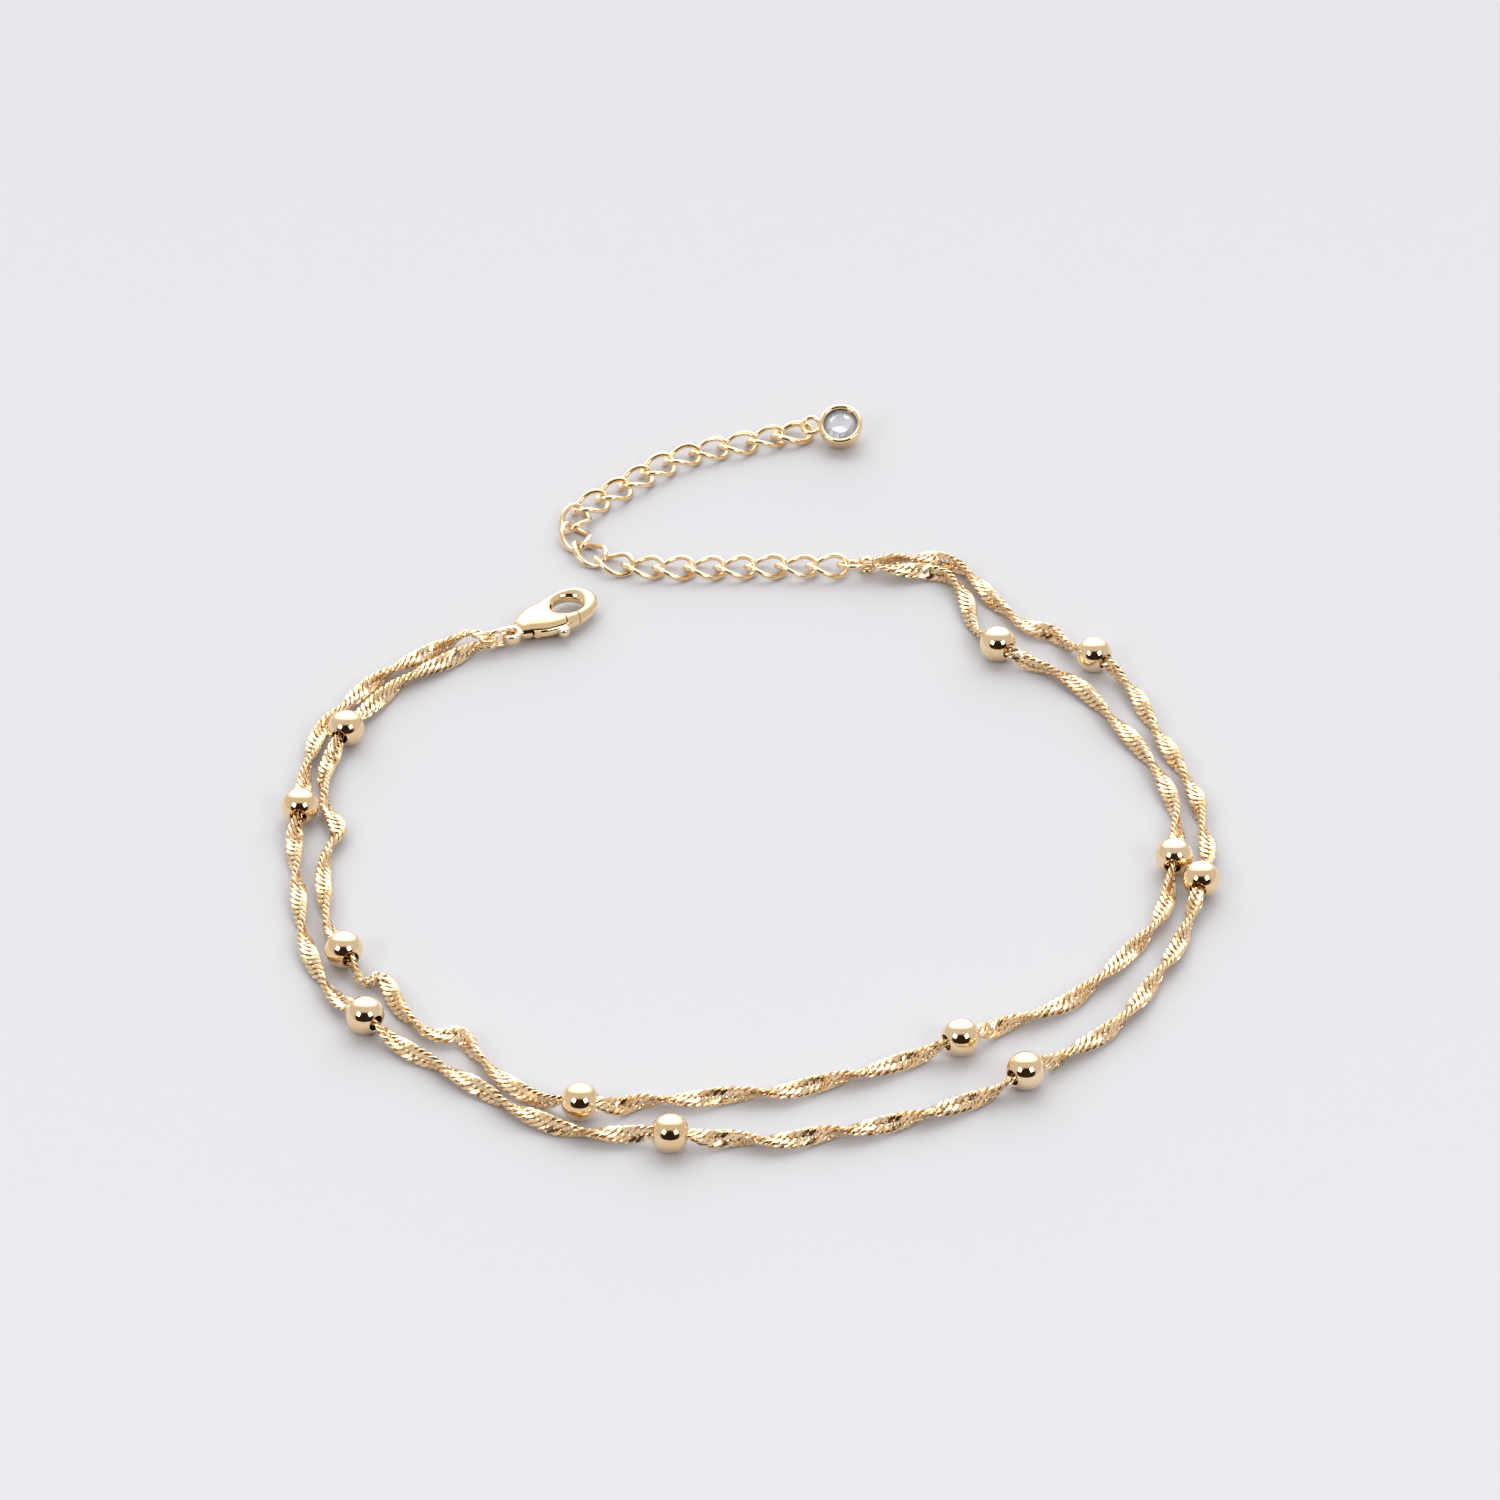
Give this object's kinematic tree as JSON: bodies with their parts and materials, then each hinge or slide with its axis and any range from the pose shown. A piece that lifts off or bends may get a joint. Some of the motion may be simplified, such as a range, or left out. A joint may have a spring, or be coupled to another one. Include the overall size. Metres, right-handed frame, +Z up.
{
  "type": "anklet",
  "caption": "Double-strand anklet of twisted ribbon chain with round beads, lobster clasp, and an extender chain ending in a small bezel-set stone.",
  "frame": {"origin": "middle of the footprint, on the surface the anklet lies on", "axes": "+Z up from the surface, +Y towards the clasp and extender, +X to the right as seen from the beaded front"},
  "size_m": [0.0874, 0.1098, 0.0037],
  "materials": {
    "gold_plate": "polished pale gold plating",
    "clear_stone": "clear faceted stone"
  },
  "bodies": {
    "anklet": {"strand_inner": "gold_plate", "strand_outer": "gold_plate", "bead_inner_1": "gold_plate", "bead_inner_2": "gold_plate", "bead_inner_3": "gold_plate", "bead_inner_4": "gold_plate", "bead_inner_5": "gold_plate", "bead_inner_6": "gold_plate", "bead_outer_1": "gold_plate", "bead_outer_2": "gold_plate", "bead_outer_3": "gold_plate", "bead_outer_4": "gold_plate", "bead_outer_5": "gold_plate", "bead_outer_6": "gold_plate", "clasp_body": "gold_plate", "clasp_ring": "gold_plate", "end_ring": "gold_plate", "link_01": "gold_plate", "link_02": "gold_plate", "link_03": "gold_plate", "link_04": "gold_plate", "link_05": "gold_plate", "link_06": "gold_plate", "link_07": "gold_plate", "link_08": "gold_plate", "link_09": "gold_plate", "link_10": "gold_plate", "link_11": "gold_plate", "link_12": "gold_plate", "link_13": "gold_plate", "link_14": "gold_plate", "link_15": "gold_plate", "link_16": "gold_plate", "link_17": "gold_plate", "link_18": "gold_plate", "link_19": "gold_plate", "drop_link": "gold_plate", "drop_setting": "gold_plate", "drop_stone": "clear_stone"},
    "clasp_lever": {"clasp_lever": "gold_plate"}
  },
  "joints": [
    {"name": "lever_pivot", "type": "hinge", "parent": "anklet", "child": "clasp_lever", "pos_m": [-0.02053, 0.01952, 0.0012], "axis": [0, 0, 1], "range_deg": [0, 22], "stiffness_Nm_per_rad": 0.002}
  ]
}
